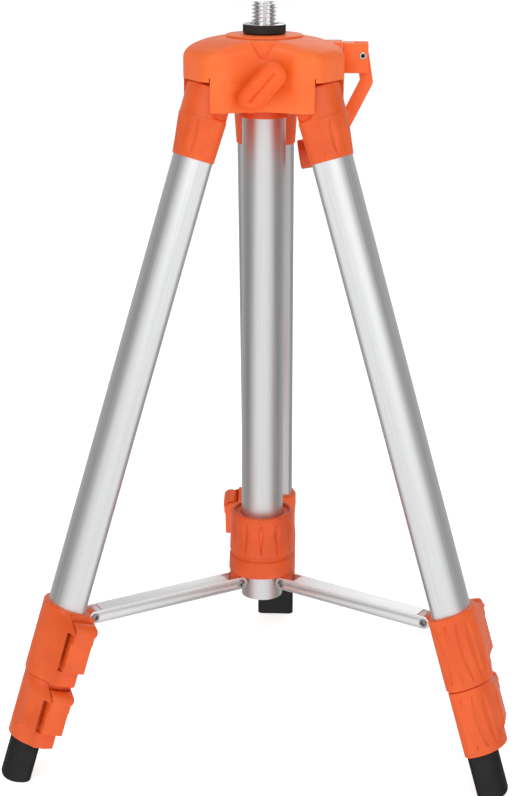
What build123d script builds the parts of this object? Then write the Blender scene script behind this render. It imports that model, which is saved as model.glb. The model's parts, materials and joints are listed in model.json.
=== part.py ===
from build123d import *
import math
import os

os.makedirs("parts", exist_ok=True)

# Aluminium tripod for a laser level. Millimetres, +Z up.
# The origin is on the floor, under the centre of the column.
# The rear leg points along +Y, the left and right legs lie 120 degrees either side of it.

# ---- driving dimensions: the whole tripod ----
LEG_AZIMUTHS = {"rear": 90.0, "left": 210.0, "right": 330.0}
LEG_TILT = 18.2
LEG_PIVOT_R = 38.0
LEG_PIVOT_Z = 440.0

OVER = 1.0
REACH = 60.0
EDGE_GAP = 0.1

# ---- crown ----
CROWN_BOTTOM = 428.0
CROWN_PARTING = 445.0
CROWN_TOP = 470.8
CROWN_PLATEAU_R = 24.0
CROWN_DOME_R = 50.0
CROWN_DOME_REACH = 68.0
LOBE_REACH = 50.5
LOBE_HALF_WIDTH = 24.2
LOBE_CORNER = 16.0
LOBE_BLEND = 34.0
CROWN_CREST_BAND = 12.0
CROWN_EDGE_ROUND = 7.0
POCKET_HALF_WIDTH = 18.0
POCKET_INNER_R = 26.0
POCKET_ROOF = 449.0
POCKET_ROOF_R = 47.5
CAP_LIP = 446.3
NOTCH_WIDTH = 17.0
NOTCH_DEPTH = 3.0
NOTCH_TOP = 471.0
NOTCH_POINT = 457.0
NOTCH_TIP_R = 3.2

# ---- column ----
COLUMN_R = 13.85
COLUMN_WALL = 1.2
COLUMN_BOTTOM = 95.4
COLUMN_TOP = 436.0
RING_R = 16.8
RING_BOTTOM = 421.4
BUSH_DEPTH = 18.0
LIFT_R = 11.0
LIFT_BORE_R = 5.0
LIFT_BOTTOM = 150.0
LIFT_CLEARANCE = 0.25
LIFT_CAP = 12.0
PRESS_GAP = 0.03

# ---- rack and pinion ----
MODULE = 1.5
PITCH = math.pi * MODULE
RACK_TIP_Y = 9.9
RACK_DEPTH = 3.3
RACK_FIRST_Z = 254.0
RACK_TEETH = 45
RACK_END_GAP = 2.0
PINION_TEETH = 10
PINION_PITCH_R = MODULE * PINION_TEETH / 2
PINION_FACE = 9.0
PINION_SIDE_GAP = 1.0
GEAR_ADDENDUM = 1.4
GEAR_BACKLASH = 0.35
GEAR_ROOM = 2.2
GEAR_TIP_GAP = 0.15
GEAR_ROOT_GAP = 0.5
PINION_ROOT_R = PINION_PITCH_R - GEAR_ADDENDUM - GEAR_ROOT_GAP
TOOTH_TIP_TAPER = 1.25
PRESSURE_SLOPE = math.tan(math.radians(20.0))
TAIL_BEARING_X = -14.0
SHAFT_R = 3.0
SHAFT_TAIL_GAP = 0.5
SHAFT_CAP = 1.0
SHAFT_Z = 456.5
SHAFT_Y = RACK_TIP_Y - GEAR_ADDENDUM + PINION_PITCH_R
RUNNING_GAP = 0.08

# ---- head plate, stud and nut ----
PLATE_R = 24.2
PLATE_TOP = 472.2
PLATE_GAP = 0.15
PLATE_CHAMFER = 0.5
PLATE_BOSS_R = 8.0
STUD_R = 7.9375
STUD_TOP = 491.8
STUD_CHAMFER = 1.2
STUD_RELIEF = 0.5
STUD_SHANK_R = 5.9
NUT_R = 13.4
NUT_BOTTOM = 472.5
NUT_TOP = 478.6
NUT_CHAMFER = 0.4
NUT_COUNTERSINK_R = 8.5
STUD_FREE_START = NUT_TOP + 0.3

# ---- crank ----
BOSS_HALF = 9.6
BOSS_START_X = 20.0
BOSS_END_X = 49.0
BLOCK_START_X = 49.4
BLOCK_STEP_X = 56.2
BLOCK_END_X = 65.2
BLOCK_HALF_Y = 8.0
BLOCK_BOTTOM = 446.6
BLOCK_TOP = 466.4
ARM_HALF_Y = 3.4
ARM_WIDTH = 8.0
SCREW_X = 61.8
SCREW_Z = 458.2
SCREW_R = 1.6
SCREW_HEAD_R = 2.2
SCREW_HEAD = 0.8
BLOCK_INSET = 0.6
BLOCK_ROUND = 1.2
ELBOW = (64.6, 441.5)
WRIST = (44.5, 401.5)
PALM_R = 6.0
SPIGOT_R = 2.5
HANDLE_R = 9.4
HANDLE_TILT = 9.5
HANDLE_Z = 398.0
HANDLE_START = 4.2
HANDLE_END = 22.4
HANDLE_ROUND = 1.2
HANDLE_GAP = 0.4
PALM_START = -1.5
SPIGOT_END = HANDLE_END - 4.0
SPIGOT_TIP_GAP = 0.5

# ---- clamp knob ----
KNOB_Z = 444.3
KNOB_LENGTH = 35.6
KNOB_WIDTH = 16.4
KNOB_ANGLE = 49.0
KNOB_BACK_Y = -38.8
KNOB_FRONT_Y = -45.8
KNOB_SCREW_R = 3.0
KNOB_STEM_R = 5.0
KNOB_GAP = 1.0
PAD_THICKNESS = 2.4
PAD_GAP = 0.3
PAD_HALF = KNOB_SCREW_R + 0.4
PAD_INNER_Y = -6.0
PAD_SEAT_GAP = 0.05
KNOB_EDGE_ROUND = 1.2
KNOB_STEM_BITE = 0.5
KNOB_BLIND = 2.5

# ---- hub ----
HUB_BORE_R = COLUMN_R + 0.3
HUB_BASE_R = 22.4
HUB_TOP_R = 20.8
HUB_ROUND = 0.8
HUB_LUG_ROOT_R = 15.2
HUB_TOP = 156.4
HUB_RECESS = 1.8
HUB_RIM = 2.6
HUB_GROOVE_TOP = 128.6
HUB_GROOVE_BOTTOM = 125.6
HUB_GROOVE_DEPTH = 1.4
HUB_BOTTOM = 113.6
HUB_PIVOT_R = 18.9
HUB_PIVOT_Z = 107.9

# ---- struts ----
STRUT_OUTER_R = 126.2
STRUT_OUTER_Z = 105.3
STRUT_HALF_HEIGHT = 4.2
STRUT_HALF_WIDTH = 6.2
STRUT_WALL = 1.0
STRUT_WEB_HUB_END = 9.6
STRUT_WEB_LEG_END = 5.5
LUG_HALF_WIDTH = 4.9
LUG_R = 3.4
RIVET_R = 1.5
RIVET_HEAD_R = 2.7
RIVET_HEAD = 1.1

# ---- leg tubes: each is a D with its flat side towards the column ----
TUBE_FLAT_X = -7.6
TUBE_DEPTH = 17.8
TUBE_ARC_R = 20.0
TUBE_CORNER = 4.0
TUBE_WALL = 1.1
TUBE_TOP = 19.0
TUBE_END = 385.0
MID_SHAPE = (-6.2, 13.4, 15.0, 3.0, -2.2)
MID_WALL = 1.0
MID_TOP = 60.0
MID_END = 430.0
LOW_SHAPE = (-4.9, 10.0, 11.0, 2.2, -4.0)
LOW_WALL = 0.9
LOW_TOP = 70.0
LOW_END = 455.0
SLIDE_GAP = 0.3

# ---- leg socket ----
SOCKET_SHOULDER = (-8.7, 23.0, 21.4, 5.5)
SOCKET_TOP = -2.0
SOCKET_STEP = 17.5
SOCKET_END = 43.5
SOCKET_LIP = 0.7
SOCKET_NECK_INSET = 0.5
SOCKET_NECK_END = 16.0
HEAD_R = 8.0
HEAD_HALF_WIDTH = 17.6
HINGE_PIN_R = 2.5

# ---- collars and flip levers: (top, end, wall, sideways shift, sideways place of the lever's pin) ----
UPPER_COLLAR = (340.0, 388.4, 3.0, 0.0, 27.8)
MID_COLLAR = (388.9, 433.4, 1.7, -1.2, 22.2)
LEVER_PIVOT_DROP = 8.5
LEVER_HEAD_R = 5.4
LEVER_FOOT_RISE = 12.5
LEVER_INNER_X = -10.0
LEVER_OUTER_X = 3.6
LEVER_FACE_Y = 5.0
LEVER_THICKNESS = 8.4
LEVER_BEVEL = 3.2
LEVER_CREASE_DROP = 16.0
LEVER_FACE_INSET = 0.8
LEVER_TIP_ROUND = 1.5
LEVER_PIN_R = 1.2
PIN_BITE = 1.2
EAR_THICKNESS = 2.0
EAR_R = 3.4
EAR_ROOT_Y = 12.0
SIDE_GAP = 0.35
SADDLE_INNER_Y = 10.0
SADDLE_INSET = 5.8
BAND_INSET = 2.4
BAND_OUTER_X = 4.0
CHEEK_INNER_X = 6.6
CHEEK_OUTER_X = 12.4
CHEEK_ROOT_Y = 5.8
CHEEK_DROP = 3.0
CHEEK_INSET = 1.0

# ---- feet ----
FOOT_SHAPE = (-7.9, 15.2, 14.4, 4.0, -6.2)
FOOT_TOP = 434.0
FOOT_END = 466.5
FOOT_ROUND = 5.0
FLOOR_SPAN = 400.0


def azimuth(angle):
    """Turn something built along +X to a leg's direction."""
    return Rot(0, 0, angle)


def leg_place(angle):
    """Leg frame: X outwards from the leg's flat side, Y round the column, Z up the leg, from its pivot."""
    return azimuth(angle) * Pos(LEG_PIVOT_R, 0, LEG_PIVOT_Z) * Rot(0, -LEG_TILT, 0)


def d_face(flat_x, depth, arc_r, corner, shift=0.0, grow=0.0):
    """D section: a flat side at flat_x, a bowed side depth away, and rounded corners."""
    left = flat_x - grow
    span = depth + 2 * grow
    radius = arc_r + grow
    bow = Pos(left + span - radius, shift) * Circle(radius)
    keep = Pos(left + span / 2, shift) * Rectangle(span, 4 * radius)
    face = bow & keep
    corners = face.vertices().sort_by(Axis.X)[:2]
    return fillet(corners, corner + grow)


def tube_face(grow=0.0, shift=0.0):
    return d_face(TUBE_FLAT_X, TUBE_DEPTH, TUBE_ARC_R, TUBE_CORNER, shift, grow)


def along_leg(face, start, end):
    """Extrude a section down the leg, from one distance below the pivot to another."""
    return Pos(0, 0, -end) * extrude(face, end - start)


def block(x0, x1, y0, y1, z0, z1):
    return Pos((x0 + x1) / 2, (y0 + y1) / 2, (z0 + z1) / 2) * Box(x1 - x0, y1 - y0, z1 - z0)


def rod(radius, x0, x1, y=0.0, z=0.0):
    """Cylinder along X."""
    return Pos((x0 + x1) / 2, y, z) * Rot(0, 90, 0) * Cylinder(radius, x1 - x0)


def cross_rod(radius, y0, y1, x=0.0, z=0.0):
    """Cylinder along Y."""
    return Pos(x, (y0 + y1) / 2, z) * Rot(90, 0, 0) * Cylinder(radius, y1 - y0)


def post(radius, z0, z1):
    """Cylinder along Z on the column's axis."""
    return Pos(0, 0, (z0 + z1) / 2) * Cylinder(radius, z1 - z0)


def crown_outline():
    """Three rounded lobes, one over each leg, blended into each other."""
    outline = Circle(LOBE_HALF_WIDTH)
    for angle in LEG_AZIMUTHS.values():
        lobe = Pos(LOBE_REACH / 2, 0) * Rectangle(LOBE_REACH, 2 * LOBE_HALF_WIDTH)
        outline += Rot(0, 0, angle) * lobe
    far = outline.vertices().filter_by(lambda v: math.hypot(v.X, v.Y) > LOBE_REACH)
    outline = fillet(far, LOBE_CORNER)
    near = outline.vertices().filter_by(lambda v: math.hypot(v.X, v.Y) < LOBE_HALF_WIDTH * 1.3)
    return fillet(near, LOBE_BLEND)


def leg_pockets(inner_r, outer_r, z0, z1):
    """The space between the two cheeks of each lobe."""
    pockets = Part()
    for angle in LEG_AZIMUTHS.values():
        box = block(inner_r, outer_r, -POCKET_HALF_WIDTH, POCKET_HALF_WIDTH, z0, z1)
        pockets += azimuth(angle) * box
    return pockets


def gear_cavity():
    """Room inside the crown for the pinion, its shaft and its tail bearing."""
    half = PINION_FACE / 2 + PINION_SIDE_GAP
    room = rod(PINION_PITCH_R + GEAR_ROOM, -half, half, SHAFT_Y, SHAFT_Z)
    room += rod(SHAFT_R + RUNNING_GAP, TAIL_BEARING_X, BOSS_END_X + OVER, SHAFT_Y, SHAFT_Z)
    return room


def dome_height(radius):
    return CROWN_TOP - CROWN_DOME_R + math.sqrt(CROWN_DOME_R ** 2 - (radius - CROWN_PLATEAU_R) ** 2)


def above_dome():
    """Section of everything above the dome, which falls away from the flat round the column."""
    middle = (CROWN_PLATEAU_R + CROWN_DOME_REACH) / 2
    rim = CROWN_DOME_REACH + OVER
    low = dome_height(CROWN_DOME_REACH)
    dome = ThreePointArc((CROWN_PLATEAU_R, CROWN_TOP), (middle, dome_height(middle)), (CROWN_DOME_REACH, low))
    rest = Polyline(
        (CROWN_DOME_REACH, low),
        (rim, low),
        (rim, CROWN_TOP + OVER),
        (CROWN_PLATEAU_R, CROWN_TOP + OVER),
        (CROWN_PLATEAU_R, CROWN_TOP),
    )
    return make_face(dome.edges() + rest.edges())


def crown_top():
    """Upper half of the crown: domed lobes over the legs, and the boss for the crank's shaft."""
    body = Pos(0, 0, CROWN_PARTING) * extrude(crown_outline(), CROWN_TOP - CROWN_PARTING)
    body -= revolve(Plane.XZ * above_dome(), Axis.Z)
    high = body.edges().filter_by(lambda e: e.center().Z > CROWN_TOP - CROWN_CREST_BAND)
    crests = high.filter_by(lambda e: math.hypot(e.center().X, e.center().Y) > CROWN_PLATEAU_R + OVER)
    body = fillet(crests, CROWN_EDGE_ROUND)
    low_y = SHAFT_Y - BOSS_HALF
    high_y = SHAFT_Y + BOSS_HALF
    body += block(BOSS_START_X, BOSS_END_X, low_y, high_y, BLOCK_BOTTOM, BLOCK_TOP)
    body -= leg_pockets(POCKET_INNER_R, POCKET_ROOF_R, CROWN_PARTING - OVER, POCKET_ROOF)
    body -= leg_pockets(POCKET_ROOF_R - OVER, LOBE_REACH + OVER, CROWN_PARTING - OVER, CAP_LIP)
    body -= post(LIFT_R + LIFT_CLEARANCE, CROWN_PARTING - OVER, CROWN_TOP + OVER)
    body -= gear_cavity()
    body -= cross_rod(KNOB_SCREW_R + RUNNING_GAP, -REACH, 0.0, 0.0, KNOB_Z)
    notch_outline = Polyline(
        (-NOTCH_WIDTH / 2, NOTCH_TOP),
        (NOTCH_WIDTH / 2, NOTCH_TOP),
        (0, NOTCH_POINT),
        close=True,
    )
    notch_face = make_face(notch_outline)
    notch_face = fillet(notch_face.vertices().sort_by(Axis.Y)[0], NOTCH_TIP_R)
    front = front_face_y()
    notch = extrude(Plane.XZ * notch_face, LOBE_REACH)
    notch -= block(-REACH, REACH, front + NOTCH_DEPTH, 0, CROWN_BOTTOM, CROWN_TOP + OVER)
    return body - notch


def front_face_y():
    """Where the outline's front hollow crosses the column's centre plane."""
    ray = Edge.make_line((0, 0, 0), (0, -2 * LOBE_REACH, 0))
    reach = crown_outline().face() & ray
    return reach.bounding_box().min.Y


def crown_base():
    body = Pos(0, 0, CROWN_BOTTOM) * extrude(crown_outline(), CROWN_PARTING - CROWN_BOTTOM)
    body -= leg_pockets(POCKET_INNER_R, LOBE_REACH + OVER, CROWN_BOTTOM - OVER, CROWN_PARTING + OVER)
    body -= post(COLUMN_R + PRESS_GAP, CROWN_BOTTOM - OVER, COLUMN_TOP)
    body -= post(LIFT_R + LIFT_CLEARANCE, COLUMN_TOP - OVER, CROWN_PARTING + OVER)
    body -= cross_rod(KNOB_SCREW_R + RUNNING_GAP, -REACH, 0.0, 0.0, KNOB_Z)
    pad_half = PAD_HALF + EDGE_GAP
    body -= block(
        -pad_half,
        pad_half,
        -LIFT_R - LIFT_CLEARANCE - PAD_THICKNESS,
        0,
        KNOB_Z - pad_half,
        CROWN_PARTING + OVER,
    )
    return body


def column_ring():
    """Plain ring that closes the crown round the column tube."""
    collar = post(RING_R, RING_BOTTOM, CROWN_BOTTOM)
    collar -= post(COLUMN_R + PRESS_GAP, RING_BOTTOM - OVER, CROWN_BOTTOM + OVER)
    return collar


def guide_bush():
    """Liner pressed into the column tube's top end; the lift column slides in it."""
    bush = post(COLUMN_R - COLUMN_WALL - PRESS_GAP, COLUMN_TOP - BUSH_DEPTH, COLUMN_TOP)
    return bush - post(LIFT_R + LIFT_CLEARANCE, COLUMN_TOP - BUSH_DEPTH - OVER, COLUMN_TOP + OVER)


def column_tube():
    tube = post(COLUMN_R, COLUMN_BOTTOM, COLUMN_TOP)
    return tube - post(COLUMN_R - COLUMN_WALL, COLUMN_BOTTOM - OVER, COLUMN_TOP + OVER)


def rack_gap():
    """One gap between rack teeth, wider at the tips, across the whole flat of the column."""
    half_pitch = (PITCH / 2 + GEAR_BACKLASH) / 2
    at_tip = half_pitch + GEAR_ADDENDUM * PRESSURE_SLOPE
    at_root = half_pitch - (RACK_DEPTH - GEAR_ADDENDUM) * PRESSURE_SLOPE
    outline = Polyline(
        (RACK_TIP_Y + OVER, -at_tip),
        (RACK_TIP_Y, -at_tip),
        (RACK_TIP_Y - RACK_DEPTH, -at_root),
        (RACK_TIP_Y - RACK_DEPTH, at_root),
        (RACK_TIP_Y, at_tip),
        (RACK_TIP_Y + OVER, at_tip),
        close=True,
    )
    return Pos(-LIFT_R, 0, 0) * extrude(Plane.YZ * make_face(outline), 2 * LIFT_R)


def lift_column():
    """Moulded inner column: a hollow round bar with rack teeth on the side away from the clamp knob."""
    bar = post(LIFT_R, LIFT_BOTTOM, CROWN_TOP - EDGE_GAP)
    bar -= post(LIFT_BORE_R, LIFT_BOTTOM - OVER, CROWN_TOP - LIFT_CAP)
    rack_low = RACK_FIRST_Z - PITCH / 2
    rack_high = CROWN_TOP - RACK_END_GAP
    bar -= block(-LIFT_R, LIFT_R, RACK_TIP_Y, LIFT_R + OVER, rack_low, rack_high)
    gap = rack_gap()
    gaps = [Pos(0, 0, RACK_FIRST_Z + i * PITCH) * gap for i in range(RACK_TEETH)]
    return bar - gaps


def pinion_tooth():
    """One straight-sided tooth along +X, slightly narrow at its tip so that it rolls freely."""
    half = (PITCH / 2 - GEAR_BACKLASH) / 2
    at_tip = half - TOOTH_TIP_TAPER * GEAR_ADDENDUM * PRESSURE_SLOPE
    at_root = half + GEAR_ADDENDUM * PRESSURE_SLOPE
    tip_r = PINION_PITCH_R + GEAR_ADDENDUM - GEAR_TIP_GAP
    inside_r = PINION_ROOT_R - GEAR_ROOT_GAP
    outline = Polyline(
        (inside_r, -at_root),
        (tip_r, -at_tip),
        (tip_r, at_tip),
        (inside_r, at_root),
        close=True,
    )
    return extrude(make_face(outline), PINION_FACE / 2, both=True)


def pinion_shaft():
    """Pinion and its shaft in one piece; one tooth points straight at the rack at rest."""
    gear = Cylinder(PINION_ROOT_R, PINION_FACE)
    for i in range(PINION_TEETH):
        gear += Rot(0, 0, i * 360.0 / PINION_TEETH) * pinion_tooth()
    towards_rack = Rot(0, 0, 90) * Rot(90, 0, 0)
    gear = Pos(0, SHAFT_Y, SHAFT_Z) * Rot(rack_phase(), 0, 0) * towards_rack * Rot(0, 0, 180) * gear
    shaft = rod(SHAFT_R, TAIL_BEARING_X + SHAFT_TAIL_GAP, BLOCK_STEP_X - SHAFT_CAP, SHAFT_Y, SHAFT_Z)
    return gear + shaft


def rack_phase():
    """Degrees that the pinion is turned so that a tooth faces a gap of the rack."""
    steps = (SHAFT_Z - RACK_FIRST_Z) / PITCH
    offset = (steps - round(steps)) * PITCH
    return math.degrees(offset / PINION_PITCH_R)


def head_plate():
    """Round platform on top of the lift column."""
    plate = post(PLATE_R, CROWN_TOP + PLATE_GAP, PLATE_TOP)
    plate = chamfer(plate.edges().group_by(Axis.Z)[-1], PLATE_CHAMFER)
    plate += post(PLATE_BOSS_R, CROWN_TOP - EDGE_GAP, CROWN_TOP + 2 * PLATE_GAP)
    return plate - post(STUD_SHANK_R, CROWN_TOP - OVER, PLATE_TOP + OVER)


def mount_stud():
    """5/8 inch threaded stud, held in the head plate by a thinner shank."""
    stud = post(STUD_R, STUD_FREE_START, STUD_TOP)
    stud = chamfer(stud.edges().group_by(Axis.Z)[-1], STUD_CHAMFER)
    stud += post(STUD_R - STUD_RELIEF, PLATE_TOP, STUD_FREE_START)
    return stud + post(STUD_SHANK_R - PRESS_GAP, CROWN_TOP, PLATE_TOP)


def lock_nut():
    """Round nut, countersunk at the top so that its flat top clears the thread."""
    nut = post(NUT_R, NUT_BOTTOM, NUT_TOP)
    nut = chamfer(nut.edges().filter_by(GeomType.CIRCLE), NUT_CHAMFER)
    bore_r = STUD_R - STUD_RELIEF + RUNNING_GAP
    nut -= post(bore_r, NUT_BOTTOM - OVER, NUT_TOP + OVER)
    sink = NUT_COUNTERSINK_R - bore_r
    return nut - Pos(0, 0, NUT_TOP - sink / 2) * Cone(bore_r, NUT_COUNTERSINK_R, sink)


def crank_block():
    """Square head on the end of the shaft, slotted for the folding arm."""
    body = block(
        BLOCK_START_X,
        BLOCK_END_X,
        SHAFT_Y - BLOCK_HALF_Y,
        SHAFT_Y + BLOCK_HALF_Y,
        BLOCK_BOTTOM + BLOCK_INSET,
        BLOCK_TOP - BLOCK_INSET,
    )
    body = fillet(body.edges().filter_by(Axis.X), BLOCK_ROUND)
    slot_half = ARM_HALF_Y + SIDE_GAP
    body -= block(
        BLOCK_STEP_X,
        BLOCK_END_X + OVER,
        SHAFT_Y - slot_half,
        SHAFT_Y + slot_half,
        BLOCK_BOTTOM - OVER,
        BLOCK_TOP + OVER,
    )
    body -= rod(SHAFT_R + RUNNING_GAP, BLOCK_START_X - OVER, BLOCK_STEP_X + OVER, SHAFT_Y, SHAFT_Z)
    return body - cross_rod(SCREW_R + PRESS_GAP, -REACH, REACH, SCREW_X, SCREW_Z)


def crank_arm():
    """Bent arm: down from the screw, then inwards under the crown."""
    path = [(SCREW_X, SCREW_Z), ELBOW, WRIST]
    arm = Part()
    for start, end in zip(path[:-1], path[1:]):
        length = math.dist(start, end)
        angle = math.degrees(math.atan2(end[1] - start[1], end[0] - start[0]))
        bar = Pos(length / 2, 0, 0) * Box(length, 2 * ARM_HALF_Y, ARM_WIDTH)
        arm += Pos(start[0], SHAFT_Y, start[1]) * Rot(0, -angle, 0) * bar
    for x, z in path[:2]:
        arm += cross_rod(ARM_WIDTH / 2, SHAFT_Y - ARM_HALF_Y, SHAFT_Y + ARM_HALF_Y, x, z)
    arm += handle_place() * rod(PALM_R, PALM_START, HANDLE_START - HANDLE_GAP)
    arm += handle_place() * rod(SPIGOT_R, 0.0, SPIGOT_END)
    return arm - cross_rod(SCREW_R + RUNNING_GAP, -REACH, REACH, SCREW_X, SCREW_Z)


def handle_place():
    """Frame on the handle's axis: X runs from the arm to the handle's free end."""
    return Pos(WRIST[0], SHAFT_Y, HANDLE_Z) * Rot(0, 180 - HANDLE_TILT, 0)


def crank_handle():
    """Round grip that turns freely on the arm's spigot."""
    grip = rod(HANDLE_R, HANDLE_START, HANDLE_END)
    grip = fillet(grip.edges().filter_by(GeomType.CIRCLE), HANDLE_ROUND)
    grip -= rod(SPIGOT_R + RUNNING_GAP, HANDLE_START - OVER, SPIGOT_END + SPIGOT_TIP_GAP)
    return handle_place() * grip


def crank_screw():
    head_y = SHAFT_Y - BLOCK_HALF_Y
    tail_y = SHAFT_Y + BLOCK_HALF_Y
    screw = cross_rod(SCREW_R, head_y, tail_y, SCREW_X, SCREW_Z)
    return screw + cross_rod(SCREW_HEAD_R, head_y - SCREW_HEAD, head_y, SCREW_X, SCREW_Z)


def lock_knob():
    """Flat stadium-shaped wing knob on a round stem."""
    wing = SlotOverall(KNOB_LENGTH, KNOB_WIDTH, rotation=KNOB_ANGLE)
    body = extrude(Plane.XZ * wing, KNOB_BACK_Y - KNOB_FRONT_Y)
    body = fillet(body.edges(), KNOB_EDGE_ROUND)
    body = Pos(0, KNOB_BACK_Y, KNOB_Z) * body
    body += cross_rod(KNOB_STEM_R, KNOB_BACK_Y - KNOB_STEM_BITE, front_face_y() - KNOB_GAP, 0.0, KNOB_Z)
    return body - cross_rod(KNOB_SCREW_R + PRESS_GAP, KNOB_FRONT_Y + KNOB_BLIND, 0.0, 0.0, KNOB_Z)


def knob_screw():
    tip_y = -LIFT_R - LIFT_CLEARANCE - PAD_THICKNESS - EDGE_GAP
    return cross_rod(KNOB_SCREW_R, KNOB_FRONT_Y + KNOB_BLIND + EDGE_GAP, tip_y, 0.0, KNOB_Z)


def brake_pad():
    """Small curved block that the knob's screw presses on the lift column."""
    y_out = -LIFT_R - LIFT_CLEARANCE - PAD_THICKNESS + PAD_SEAT_GAP
    low = KNOB_Z - PAD_HALF + EDGE_GAP
    high = CROWN_PARTING - EDGE_GAP
    pad = block(-PAD_HALF, PAD_HALF, y_out, PAD_INNER_Y, low, high)
    return pad - post(LIFT_R + PAD_GAP, low - OVER, high + OVER)


def hub_cup():
    """Sliding hub on the column with three lugs for the struts."""
    middle_z = (HUB_BOTTOM + HUB_TOP) / 2
    body = Pos(0, 0, middle_z) * Cone(HUB_BASE_R, HUB_TOP_R, HUB_TOP - HUB_BOTTOM)
    body = fillet(body.edges().group_by(Axis.Z)[-1], HUB_ROUND)
    groove = post(HUB_BASE_R + OVER, HUB_GROOVE_BOTTOM, HUB_GROOVE_TOP)
    groove -= post(HUB_BASE_R - HUB_GROOVE_DEPTH, HUB_GROOVE_BOTTOM - OVER, HUB_GROOVE_TOP + OVER)
    body -= groove
    body -= post(HUB_TOP_R - HUB_RIM, HUB_TOP - HUB_RECESS, HUB_TOP + OVER)
    for angle in LEG_AZIMUTHS.values():
        root = block(
            HUB_LUG_ROOT_R,
            HUB_PIVOT_R + LUG_R,
            -LUG_HALF_WIDTH,
            LUG_HALF_WIDTH,
            HUB_PIVOT_Z,
            HUB_BOTTOM + OVER,
        )
        tip = cross_rod(LUG_R, -LUG_HALF_WIDTH, LUG_HALF_WIDTH, HUB_PIVOT_R, HUB_PIVOT_Z)
        hole = cross_rod(RIVET_R + RUNNING_GAP, -REACH, REACH, HUB_PIVOT_R, HUB_PIVOT_Z)
        body += azimuth(angle) * (root + tip)
        body -= azimuth(angle) * hole
    return body - post(HUB_BORE_R, HUB_PIVOT_Z - LUG_R - OVER, HUB_TOP + OVER)


def strut_length():
    return math.hypot(STRUT_OUTER_R - HUB_PIVOT_R, STRUT_OUTER_Z - HUB_PIVOT_Z)


def strut_place(angle):
    """Strut frame: X from the hub's pivot to the leg's pivot, Z up."""
    fall = math.degrees(math.atan2(HUB_PIVOT_Z - STRUT_OUTER_Z, STRUT_OUTER_R - HUB_PIVOT_R))
    return azimuth(angle) * Pos(HUB_PIVOT_R, 0, HUB_PIVOT_Z) * Rot(0, fall, 0)


def strut():
    """Pressed channel, open below, with its web cut back at both ends."""
    length = strut_length()
    side = SlotCenterToCenter(length, 2 * STRUT_HALF_HEIGHT)
    body = Pos(length / 2, 0, 0) * extrude(Plane.XZ * side, STRUT_HALF_WIDTH, both=True)
    inside = STRUT_HALF_WIDTH - STRUT_WALL
    lid = STRUT_HALF_HEIGHT - STRUT_WALL
    body -= block(-REACH, length + REACH, -inside, inside, -REACH, lid)
    body -= block(-REACH, STRUT_WEB_HUB_END, -inside, inside, -REACH, REACH)
    body -= block(length - STRUT_WEB_LEG_END, length + REACH, -inside, inside, -REACH, REACH)
    for x in (0.0, length):
        body -= cross_rod(RIVET_R + PRESS_GAP, -REACH, REACH, x)
    return body


def strut_rivets():
    """Two rivets with a round head at each end, riding in the strut's walls."""
    both = []
    for x in (0.0, strut_length()):
        rivet = cross_rod(RIVET_R, -STRUT_HALF_WIDTH, STRUT_HALF_WIDTH, x)
        for side in (-1, 1):
            inner = side * STRUT_HALF_WIDTH
            outer = side * (STRUT_HALF_WIDTH + RIVET_HEAD)
            rivet += cross_rod(RIVET_HEAD_R, min(inner, outer), max(inner, outer), x)
        both.append(rivet)
    return Compound(children=both)


def leg_lug_point():
    """The strut's outer pivot in the leg frame: distance off the flat side, and distance down the leg."""
    tilt = math.radians(LEG_TILT)
    dr = STRUT_OUTER_R - LEG_PIVOT_R
    dz = STRUT_OUTER_Z - LEG_PIVOT_Z
    return (
        dr * math.cos(tilt) + dz * math.sin(tilt),
        dr * math.sin(tilt) - dz * math.cos(tilt),
    )


def socket():
    """Plastic socket that holds the tube's top end and hinges between the crown's cheeks."""
    rim = tube_face(SOCKET_LIP)
    shoulder = d_face(*SOCKET_SHOULDER)
    skirt = loft([Pos(0, 0, -SOCKET_END) * rim, Pos(0, 0, -SOCKET_STEP) * shoulder], ruled=True)
    neck = along_leg(d_face(*SOCKET_SHOULDER, grow=-SOCKET_NECK_INSET), SOCKET_TOP, SOCKET_STEP)
    head = cross_rod(HEAD_R, -HEAD_HALF_WIDTH, HEAD_HALF_WIDTH)
    limits = block(-REACH, REACH, -HEAD_HALF_WIDTH, HEAD_HALF_WIDTH, -SOCKET_NECK_END, REACH)
    shoulder_band = along_leg(d_face(*SOCKET_SHOULDER, grow=-SOCKET_NECK_INSET), SOCKET_NECK_END, SOCKET_STEP)
    body = (neck & limits) + shoulder_band + skirt + head
    body -= along_leg(tube_face(PRESS_GAP), TUBE_TOP - EDGE_GAP, SOCKET_END + OVER)
    return body - cross_rod(HINGE_PIN_R + PRESS_GAP, -REACH, REACH)


def hinge_pin():
    reach = HEAD_HALF_WIDTH - EDGE_GAP
    return cross_rod(HINGE_PIN_R, -reach, reach)


def hollow_tube(shape, wall, start, end):
    flat_x, depth, arc_r, corner, shift = shape
    outside = d_face(flat_x, depth, arc_r, corner, shift)
    inside = d_face(flat_x, depth, arc_r, corner, shift, -wall)
    return along_leg(outside - inside, start, end)


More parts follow.
